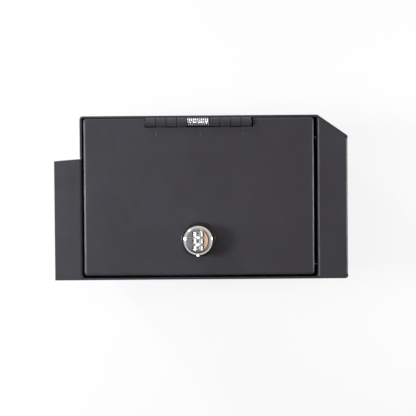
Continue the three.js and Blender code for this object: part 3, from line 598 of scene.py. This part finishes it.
def front_panel():
    piece = start_plate("front_wall", Vector((wall_left, wall_front, 0)),
                        Vector((wall_right, wall_front, rim)))
    for side in (wall_left, wall_right):
        pull_edges(upright_at(side, wall_front), Y * CORNER_RETURN)
        round_edges(upright_at(side, wall_front), CORNER)
    finish_wall(piece, -Y, "front_panel")


def back_panel():
    piece = start_plate("back_wall", Vector((wall_left, wall_back, 0)),
                        Vector((clip.x, wall_back, rim)))
    pull_edges(upright_at(wall_left, wall_back), -Y * CORNER_RETURN)
    pull_edges(upright_at(clip.x, wall_back),
               Vector((wall_right - clip.x, clip.y - wall_back, 0)))
    pull_edges(upright_at(wall_right, clip.y), -Y * CLIP_RETURN)
    slant = math.atan2(wall_back - clip.y, wall_right - clip.x)
    round_edges(upright_at(wall_left, wall_back), CORNER)
    round_edges(upright_at(clip.x, wall_back), CORNER * math.tan(slant / 2))
    round_edges(upright_at(wall_right, clip.y), CORNER * math.tan((math.pi / 2 - slant) / 2))
    finish_wall(piece, Y, "back_panel")


def left_panel():
    """The left wall, folded outward at the rim into the mounting flange."""
    inner_face = wall_left + SHEET
    seam_front = wall_front + CORNER_RETURN + SEAM
    seam_back = wall_back - CORNER_RETURN - SEAM
    piece = start_plate("left_wall_with_flange", Vector((flange_low.x, seam_front, rim)),
                        Vector((inner_face, flange_back, rim)))
    pull_edges(lambda spot, run: near(spot.x, inner_face), -Z * rim)
    round_edges(lambda spot, run: near(spot.x, inner_face) and near(spot.z, rim), FOLD)
    pull_edges(upright_at(inner_face, flange_back), Y * RELIEF)
    pull_edges(upright_at(inner_face, flange_back + RELIEF),
               Y * (seam_back - flange_back - RELIEF))
    pull_edges(lambda spot, run: near(spot.x, inner_face) and near(spot.z, rim - FOLD)
               and spot.y > flange_back + 2 * RELIEF, Z * FOLD)
    flat_end = inner_face - FOLD
    pull_edges(lambda spot, run: near(spot.z, rim) and near(spot.y, seam_front)
               and spot.x < flat_end, Y * (wall_front - seam_front))
    weld_start = seam_front - FLANGE_OVERLAP
    slice_at(Y * weld_start, Y)
    shift(lambda spot: near(spot.y, weld_start) and near(spot.x, flat_end),
          X * (wall_left + FLANGE_OVERLAP - flat_end))
    shift(lambda spot: near(spot.y, wall_front) and near(spot.x, flat_end),
          X * (wall_left + CORNER - flat_end))
    shift(lambda spot: near(spot.y, flange_back) and near(spot.x, flange_low.x),
          -Y * FLANGE_SLANT)
    round_corner(lambda spot: near(spot.x, flange_low.x), FLANGE_CORNER)
    finish_wall(piece, X, "left_panel")


def right_panel():
    """The right wall, folded over as the roofed strip and down again as its lip."""
    inside_front = wall_front + SHEET + SEAM
    seam_front = wall_front + CORNER_RETURN + SEAM
    seam_back = clip.y - CLIP_RETURN - SEAM
    flat_end = wall_right - FOLD
    piece = start_plate("right_wall_with_wing", Vector((wing_edge, seam_front, rim)),
                        Vector((wall_right, seam_back, rim)))
    pull_edges(lambda spot, run: near(spot.x, wall_right), -Z * rim)
    pull_edges(lambda spot, run: near(spot.x, wing_edge), -Z * WING_LIP)
    round_edges(lambda spot, run: near(spot.z, rim) and abs(run.y) > ALONG, FOLD)
    for end, target in ((seam_front, inside_front), (seam_back, wall_back)):
        pull_edges(lambda spot, run: near(spot.y, end) and spot.x < flat_end
                   and abs(run.y) < ACROSS, Y * (target - end))
    shift(lambda spot: near(spot.x, flat_end) and spot.z > rim - TINY
          and not seam_front - TINY < spot.y < seam_back + TINY, X * (FOLD - SHEET - SEAM))
    run = Vector((clip.x - wall_right, wall_back - clip.y, 0)).normalized()
    out = Vector((run.y, -run.x, 0))
    slice_at(Vector((wall_right, clip.y, 0)) - out * (SHEET + SEAM), out, clear=True)
    round_corner(lambda spot: near(spot.y, inside_front) and spot.x > flat_end, INNER_CORNER)
    finish_wall(piece, X + Z, "right_panel")


# Lid

def lid_panel():
    """The folded lid: a shallow pan turned upside down, notched for the hinge."""
    piece = start_block("lid", lid_low, lid_high)
    drop_faces(lambda spot, out: out.z < -ALONG)
    round_edges(lambda spot, run: abs(run.z) > ALONG, CORNER)
    pick("faces", lambda spot, out: out.z > ALONG)
    bpy.ops.mesh.region_to_loop()
    bpy.ops.mesh.bevel(offset=FOLD, segments=ROUND_STEPS, profile=0.5, affect="EDGES",
                       clamp_overlap=False)
    notch_left = hinge_axis.x - hinge_half - NOTCH_GAPS[0]
    notch_right = hinge_axis.x + hinge_half + NOTCH_GAPS[1]
    for side in (notch_left, notch_right):
        slice_at(X * side, X)
    notch_front = hinge_axis.y - NOTCH_FRONT
    slice_at(Vector((0, notch_front, 0)), Y)
    drop_faces(lambda spot, out: notch_left < spot.x < notch_right and spot.y > notch_front)
    tidy_faces(Z)
    close_piece()
    thicken(piece)
    hole = rod("lock_hole", lock_axis, Z, RING_HOLE, -2 * SHEET, 2 * SHEET)
    carve(piece, hole)
    for offset, length, height in WELD_MARKS:
        weld_on(piece, weld_mark(hinge_axis + Vector((offset, -WELD_LINE, 0)), length, height))
    soften(piece)
    smooth(piece)
    place(piece, "lid", powder_coat, "powder_coat", "lid_panel")


def weld_mark(spot, length, height):
    """A small slanted bead where the leaf is welded through the lid."""
    deselect()
    bpy.ops.mesh.primitive_uv_sphere_add(segments=24, ring_count=12, radius=1,
                                         location=(spot.x, spot.y, lid_high.z),
                                         rotation=(0, 0, WELD_TURN))
    bpy.context.active_object.scale = (WELD_WIDTH / 2, length / 2, height)
    bead = open_piece("weld_bead")
    close_piece()
    return bead


# Hinge

def knuckle_runs(from_lid):
    """Start and end of each knuckle rolled from one leaf, along X."""
    runs = []
    for start, end in ((-hinge_half, SPRING_SPAN[0]), (SPRING_SPAN[1], hinge_half)):
        pitch = (end - start) / KNUCKLES_PER_SIDE
        for index in range(KNUCKLES_PER_SIDE):
            if (index % 2 == 1) == from_lid:
                left = hinge_axis.x + start + index * pitch + KNUCKLE_GAP / 2
                runs.append((left, left + pitch - KNUCKLE_GAP))
    return runs


def tail_slot(inward, angle):
    """Cutting tool for the slot in a knuckle's edge that takes the spring's straight end."""
    face = hinge_axis.x + SPRING_SPAN[inward > 0]
    near_end, far_end = sorted((face - inward * CUT_MARGIN,
                                face + inward * (TAIL_BEND + TAIL_LENGTH)))
    half = WIRE + TAIL_ROOM
    slot = start_block("tail_slot", Vector((near_end, COIL - half, -half)),
                       Vector((far_end, KNUCKLE + CUT_MARGIN, half)))
    round_edges(lambda spot, run: abs(run.x) > ALONG and spot.y < COIL, half * TAIL_SLOT_ROUND, 4)
    close_piece()
    turn = Matrix.Rotation(angle, 4, "X")
    slot.data.transform(Matrix.Translation(Vector((0, hinge_axis.y, hinge_axis.z))) @ turn)
    return slot


def hinge_leaf(name, from_lid, low, high, tongue, outward):
    """A leaf cut from a plate, its tongues pulled out and rolled round the pin."""
    piece = start_plate(name, low, high)
    runs = knuckle_runs(from_lid)
    for start, end in runs:
        slice_at(Vector((start, 0, 0)), X)
        slice_at(Vector((end, 0, 0)), X)
    in_run = lambda spot: any(start < spot.x < end for start, end in runs)
    cut_edge = hinge_axis - tongue * LEAF_CUT_BACK
    pull_edges(lambda spot, run: near((spot - cut_edge).dot(tongue), 0) and in_run(spot)
               and abs(run.x) > ALONG, tongue * LEAF_CUT_BACK)
    pick("edges", lambda spot, run: near((spot - hinge_axis).dot(tongue), 0)
         and abs(run.x) > ALONG)
    # spin turns opposite to the right-hand rule
    bpy.ops.mesh.spin(steps=ROLL_STEPS, angle=-ROLL_TURN, center=hinge_axis, axis=X)
    tidy_faces(outward)
    close_piece()
    thicken(piece)
    carve(piece, tail_slot(-1, TAIL_ANGLES[0]) if from_lid else tail_slot(1, TAIL_ANGLES[1]))
    soften(piece, LEAF_EDGE)
    smooth(piece)
    return piece


def hinge_body_leaf():
    low = hinge_axis + Vector((-hinge_half, KNUCKLE, -LEAF_WIDTH))
    high = hinge_axis + Vector((hinge_half, KNUCKLE, -LEAF_CUT_BACK))
    piece = hinge_leaf("hinge_leaf_on_box", False, low, high, Z, Y)
    place(piece, "box", powder_coat, "powder_coat", "hinge_body_leaf")


def hinge_lid_leaf():
    low = hinge_axis + Vector((-hinge_half, -LEAF_WIDTH, -KNUCKLE))
    high = hinge_axis + Vector((hinge_half, -LEAF_CUT_BACK, -KNUCKLE))
    piece = hinge_leaf("hinge_leaf_on_lid", True, low, high, Y, -Z)
    place(piece, "lid", powder_coat, "powder_coat", "hinge_lid_leaf")


def spring_line():
    """Points of the wire's middle: a straight end, a bend, the coils, and the same again."""
    first = hinge_axis.x + SPRING_SPAN[0] + WIRE
    last = hinge_axis.x + SPRING_SPAN[1] - WIRE
    round_length = 2 * math.pi * COIL
    full = COIL_TURNS * round_length
    left_end = [(first - TAIL_BEND - TAIL_LENGTH, 0)]
    for step in range(BEND_STEPS + 1):
        turn = step * math.pi / (2 * BEND_STEPS)
        left_end.append((first - TAIL_BEND * (1 - math.sin(turn)),
                         TAIL_BEND * (1 - math.cos(turn))))
    right_end = [(first + last - x, full - run) for x, run in reversed(left_end)]
    coils = []
    for step in range(1, round(COIL_TURNS * COIL_STEPS)):
        turns = step / COIL_STEPS
        climb = (turns - FLAT_TURNS) / (COIL_TURNS - 2 * FLAT_TURNS)
        run = turns * round_length
        if TAIL_BEND < run < full - TAIL_BEND:
            coils.append((first + (last - first) * min(1, max(0, climb)), run))
    line = []
    for x, run in left_end + coils + right_end:
        angle = TAIL_ANGLES[0] + run / COIL
        line.append((x, hinge_axis.y + COIL * math.cos(angle),
                     hinge_axis.z + COIL * math.sin(angle), 1))
    return line


def hinge_spring():
    """Round wire wound about the pin, its straight ends tucked into a knuckle at each side."""
    line = spring_line()
    route = bpy.data.curves.new("hinge_coil_spring", "CURVE")
    route.dimensions, route.use_fill_caps = "3D", True
    route.bevel_depth, route.bevel_resolution = WIRE, 3
    strand = route.splines.new("POLY")
    strand.points.add(len(line) - 1)
    for point, spot in zip(strand.points, line):
        point.co = spot
    piece = bpy.data.objects.new("hinge_coil_spring", route)
    bpy.context.scene.collection.objects.link(piece)
    deselect()
    piece.select_set(True)
    bpy.context.view_layer.objects.active = piece
    bpy.ops.object.convert(target="MESH")
    piece = bpy.context.active_object
    bpy.ops.object.mode_set(mode="EDIT")
    tidy_faces()
    close_piece()
    smooth(piece, COIL_ANGLE)
    place(piece, "box", bright_zinc, "bright_zinc", "hinge_spring",
          ride=lambda spring, body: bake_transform(spring))


# Lock

def base_ring():
    low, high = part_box("lock_base_ring")
    radius = (high.x - low.x) / 2
    middle = Vector((lock_axis.x, lock_axis.y, low.z))
    height = high.z - low.z
    foot, outer, inner = RING_ROUNDS
    inset, drop = RING_SLOPE
    profile = rounded_profile([
        (RING_HOLE, 0, 0), (radius, 0, foot), (radius, height - drop, outer),
        (radius - inset, height, inner), (RING_HOLE, height, 0), (RING_HOLE, 0, 0),
    ])
    piece = turned("lock_base_ring_black", profile, middle, LOCK_STEPS)
    smooth(piece)
    place(piece, "lid", black_trim, "black_trim", "lock_base_ring")


def face_line():
    """Points of the head's face from its middle outward, how far out and how far down, as shares
    of its radius."""
    points = [(0, 0)]
    for (start, from_slope), (end, to_slope) in zip(HEAD_SLOPES, HEAD_SLOPES[1:]):
        parts = max(2, round((end - start) * HEAD_STEPS))
        for part in range(parts):
            slope = math.radians(from_slope + (to_slope - from_slope) * (part + 0.5) / parts)
            out, down = points[-1]
            run = (end - start) / parts
            points.append((out + run, down + run * math.tan(slope)))
    return points


def lock_head():
    """The chrome head: a turned cap with three dial windows, a reset hole and an index nub."""
    node_low, node_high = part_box("lock_head")
    radius = (node_high.x - node_low.x) / 2
    bottom = node_low.z
    face = dial_middles[1].z + DIAL_RADIUS - DIAL_SHOWS
    middle = Vector((lock_axis.x, lock_axis.y, bottom))
    height = face - bottom
    profile = [(0, HEAD_UNDERCUT), (plate_radius(), HEAD_UNDERCUT), (plate_radius(), 0),
               (radius - HEAD_CHAMFER, 0), (radius, HEAD_CHAMFER)]
    profile += [(radius * share, height + HEAD_RISE - radius * drop)
                for share, drop in reversed(face_line())]
    piece = turned("lock_head_chrome", profile, middle, LOCK_STEPS)
    foot, top = NUB_HEIGHTS
    nub_low = Vector((lock_axis.x - NUB_HALF, node_low.y, dial_middles[0].z + foot))
    nub_high = Vector((lock_axis.x + NUB_HALF, lock_axis.y - radius + NUB_ROOT, face + top))
    nub = start_block("nub", nub_low, nub_high)
    side_round, top_round = NUB_ROUNDS
    round_edges(lambda spot, run: spot.y < node_low.y + TINY and abs(run.z) > ALONG,
                side_round, 4)
    round_edges(lambda spot, run: spot.z > nub_high.z - TINY and spot.y < nub_high.y - TINY,
                top_round, 3)
    close_piece()
    weld_on(piece, nub)
    tools = [rod("slot", spot, Y, SLOT_RADIUS, -SLOT_HALF, SLOT_HALF, 96) for spot in dial_middles]
    pin_low, pin_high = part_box("reset_pin")
    pin_middle = (pin_low + pin_high) / 2
    tools.append(rod("reset_hole", pin_middle, Z, RESET_HOLE, *RESET_HOLE_ENDS, 48))
    axle_start = Vector((lock_axis.x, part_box("dial_axle")[0].y, dial_middles[0].z))
    tools.append(rod("axle_hole", axle_start, Y, AXLE_HOLE, *AXLE_HOLE_ENDS, 32))
    carve(piece, *tools)
    soften(piece, WINDOW_EDGE, WINDOW_ANGLE)
    smooth(piece, HEAD_ANGLE)
    place(piece, "knob", chrome, "polished_chrome", "lock_head")


def plate_radius():
    """Radius of the recess under the head that the spindle's plate sits in."""
    low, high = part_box("lock_spindle")
    return (high.x - low.x) / 2 + PLATE_GAP


def dial_wheel():
    """One number wheel: ten flats with a grip groove between each two and a hole for the axle."""
    deselect()
    bpy.ops.mesh.primitive_cylinder_add(vertices=DIGITS, radius=DIAL_RADIUS, depth=2 * DIAL_HALF,
                                        location=(0, 0, 0))
    piece = open_piece("dial_wheel_1")
    round_edges(lambda spot, run: abs(run.z) > ALONG, GROOVE_HALF, 2)
    ridge = DIAL_RADIUS - GROOVE_HALF * math.sin(math.pi / DIGITS) / 2
    pick("edges", lambda spot, run: abs(run.z) > ALONG and spot.xy.length > ridge)
    scale = (DIAL_RADIUS - GROOVE_DEPTH) / DIAL_RADIUS
    bpy.ops.transform.resize(value=(scale, scale, 1), center_override=(0, 0, 0))
    pick("faces", lambda spot, out: abs(out.z) > ALONG)
    bpy.ops.mesh.inset(thickness=DIAL_RADIUS - AXLE_HOLE - GROOVE_DEPTH, use_even_offset=False)
    bpy.ops.mesh.delete(type="FACE")
    pick("edges", lambda spot, run: spot.xy.length < DIAL_RADIUS / 2 and abs(run.z) < ACROSS
         and abs(spot.z) > DIAL_HALF - TINY and abs(run.dot(spot.normalized())) < ROUND_THE_HOLE)
    bpy.ops.mesh.bridge_edge_loops()
    tidy_faces()
    close_piece()
    soften(piece, DIAL_EDGE, DIAL_ANGLE)
    smooth(piece, DIAL_ANGLE)
    first_flat = Matrix.Rotation(math.pi / DIGITS, 4, "Z")
    piece.data.transform(first_flat)
    laid_along(piece, Vector(), Y)
    piece.data.transform(Matrix.Translation(dial_middles[0]))
    return piece


def dial_digits():
    """The numbers 0 to 9, painted round the wheel."""
    lift = DIAL_RADIUS * math.cos(math.pi / DIGITS) + DIGIT_LIFT
    made = []
    for digit in range(DIGITS):
        deselect()
        bpy.ops.object.text_add(location=(0, 0, 0))
        text = bpy.context.active_object
        text.data.body = str(digit)
        text.data.align_x, text.data.align_y = "CENTER", "CENTER"
        text.data.size = DIGIT_HEIGHT / DIGIT_OF_FONT
        text.data.extrude = DIGIT_PAINT
        text.data.offset = DIGIT_BOLD
        text.scale.x = DIGIT_NARROWING
        bpy.ops.object.convert(target="MESH")
        bpy.ops.object.transform_apply(location=True, rotation=True, scale=True)
        number = bpy.context.active_object
        turn = Matrix.Rotation(digit * 2 * math.pi / DIGITS, 4, "Y")
        number.data.transform(Matrix.Translation(dial_middles[0]) @ turn
                              @ Matrix.Translation(Z * lift))
        made.append(number)
    deselect()
    for number in made:
        number.select_set(True)
    bpy.context.view_layer.objects.active = made[0]
    bpy.ops.object.join()
    made[0].name = made[0].data.name = "dial_numbers_1"
    return made[0]


def moved_copy(first, number, move):
    """A copy with its own mesh, named for another dial and moved to it."""
    piece = first.copy()
    piece.data = first.data.copy()
    bpy.context.scene.collection.objects.link(piece)
    piece.name = piece.data.name = first.name[:-1] + str(number)
    piece.data.transform(Matrix.Translation(move))
    return piece


def dials():
    """The three number wheels with their painted numbers, the first pair copied for the others."""
    pairs = [(dial_wheel(), dial_digits())]
    for number, middle in enumerate(dial_middles[1:], 2):
        move = middle - dial_middles[0]
        pairs.append([moved_copy(first, number, move) for first in pairs[0]])
    for number, (wheel, numbers) in enumerate(pairs, 1):
        body = DIAL_BODIES[number - 1]
        place(wheel, body, satin_chrome, "polished_chrome", f"dial_{number}")
        place(numbers, body, digit_paint, "black_trim")


# The CAD nodes that keep their own shape

def dress_cad_nodes():
    """Gives them their finishes and slightly rounded edges."""
    finishes = {
        "bottom_plate": powder_coat, "latch_keeper": powder_coat, "hinge_pin": painted_pin,
        "lock_barrel": dull_zinc, "lock_washer": dull_zinc, "lock_nut": dull_zinc,
        "lock_spindle": dull_zinc, "dial_axle": dull_zinc, "reset_pin": black_trim,
        "lock_cam": dull_zinc, "cam_washer": dull_zinc, "cam_screw": dull_zinc,
    }
    for name, finish in finishes.items():
        node = frame["nodes"][name]
        node.data.materials.clear()
        node.data.materials.append(finish)
        weld = node.modifiers.new("Weld", "WELD")
        weld.merge_threshold = TINY
        edge = node.modifiers.new("Bevel", "BEVEL")
        edge.width, edge.segments = CAD_EDGE, 2
        edge.limit_method, edge.angle_limit = "ANGLE", math.radians(SHARP_ANGLE)


# Stage

def bare_material(name):
    material = bpy.data.materials.new(name)
    material.use_nodes = True
    material.node_tree.nodes.clear()
    return material


def mix_shaders(material, share, first, second):
    """Shows the second shader by the share and the first for the rest."""
    output = add_node(material, "ShaderNodeOutputMaterial")
    mix = add_node(material, "ShaderNodeMixShader")
    wire(material, share, mix.inputs["Fac"])
    wire(material, first, mix.inputs[1])
    wire(material, second, mix.inputs[2])
    wire(material, mix.outputs["Shader"], output.inputs["Surface"])


def floor():
    """A pale floor that takes shadows, nearly white to the camera and in mirrors."""
    deselect()
    bpy.ops.mesh.primitive_plane_add(size=FLOOR_SIZE, location=(0, 0, -FLOOR_GAP))
    ground = bpy.context.active_object
    ground.name = "floor"
    material = bare_material("white_floor")
    diffuse = add_node(material, "ShaderNodeBsdfDiffuse", Color=FLOOR_COLOR)
    glow = add_node(material, "ShaderNodeEmission", Strength=1.0)
    rays = add_node(material, "ShaderNodeLightPath")
    seen = calculate(material, "ADD", rays.outputs["Is Camera Ray"], rays.outputs["Is Glossy Ray"])
    seen = calculate(material, "ADD", seen, rays.outputs["Is Transmission Ray"])
    share = calculate(material, "MULTIPLY", seen, FLOOR_GLOW, clamp=True)
    mix_shaders(material, share, diffuse.outputs["BSDF"], glow.outputs["Emission"])
    ground.data.materials.append(material)


def lamp(name, spot, size, power, mirrored):
    data = bpy.data.lights.new(name, "AREA")
    data.shape, data.size, data.energy = "SQUARE", size, power
    light = bpy.data.objects.new(name, data)
    bpy.context.scene.collection.objects.link(light)
    light.location = spot
    light.visible_glossy = mirrored
    light.rotation_euler = (Vector(AIM) - Vector(spot)).to_track_quat("-Z", "Y").to_euler()


def card(name, spot, size, color, strength):
    """A card over the object that only shiny pieces mirror."""
    deselect()
    bpy.ops.mesh.primitive_plane_add(size=1, location=spot, rotation=(math.pi, 0, 0))
    panel = bpy.context.active_object
    panel.name = name
    panel.scale = (*size, 1)
    material = bare_material(name)
    glow = add_node(material, "ShaderNodeEmission", Color=(*color, 1), Strength=strength)
    clear = add_node(material, "ShaderNodeBsdfTransparent")
    rays = add_node(material, "ShaderNodeLightPath")
    mix_shaders(material, rays.outputs["Is Glossy Ray"], clear.outputs["BSDF"],
                glow.outputs["Emission"])
    panel.data.materials.append(material)


def tent():
    """White surroundings: plain white to the camera, and for the object dimmer towards the front
    apart from a band near the floor. In mirrors they are dimmer overhead too."""
    world = bpy.data.worlds.new("studio")
    bpy.context.scene.world = world
    world.use_nodes = True
    back = world.node_tree.nodes["Background"]
    back.inputs["Color"].default_value = WHITE
    way = add_node(world, "ShaderNodeTexCoord")
    split = add_node(world, "ShaderNodeSeparateXYZ")
    rays = add_node(world, "ShaderNodeLightPath")
    wire(world, way.outputs["Generated"], split.inputs["Vector"])
    height, depth = split.outputs["Z"], split.outputs["Y"]
    mirrored = mapped(world, height, *TENT_BY_HEIGHT)
    light = mixed(world, rays.outputs["Is Glossy Ray"], TENT_LIGHT, mirrored)
    share = calculate(world, "MAXIMUM", mapped(world, depth, *TENT_BY_DEPTH),
                      mapped(world, height, *TENT_LOW_BAND))
    light = calculate(world, "MULTIPLY", light, share)
    strength = mixed(world, rays.outputs["Is Camera Ray"], light, 1.0)
    wire(world, strength, back.inputs["Strength"])


def studio():
    """The white tent, small lamps round the object and cards for the lock to mirror."""
    tent()
    for lamp_values in LAMPS:
        lamp(*lamp_values)
    for card_values in CARDS:
        card(*card_values)
    bpy.context.scene.view_settings.view_transform = "Standard"


def camera():
    data = bpy.data.cameras.new("camera")
    data.lens, data.sensor_width = CAMERA_LENS, CAMERA_SENSOR
    viewer = bpy.data.objects.new("camera", data)
    bpy.context.scene.collection.objects.link(viewer)
    x, y, z = CAMERA_OVER
    viewer.location = (x, y + CAMERA_REACH * math.sin(CAMERA_TILT),
                       z + CAMERA_REACH * math.cos(CAMERA_TILT))
    viewer.rotation_euler = (-CAMERA_TILT, 0, -CAMERA_ROLL)
    bpy.context.scene.camera = viewer


camera()
front_panel()
back_panel()
left_panel()
right_panel()
lid_panel()
hinge_body_leaf()
hinge_lid_leaf()
hinge_spring()
base_ring()
lock_head()
dials()
dress_cad_nodes()
floor()
studio()
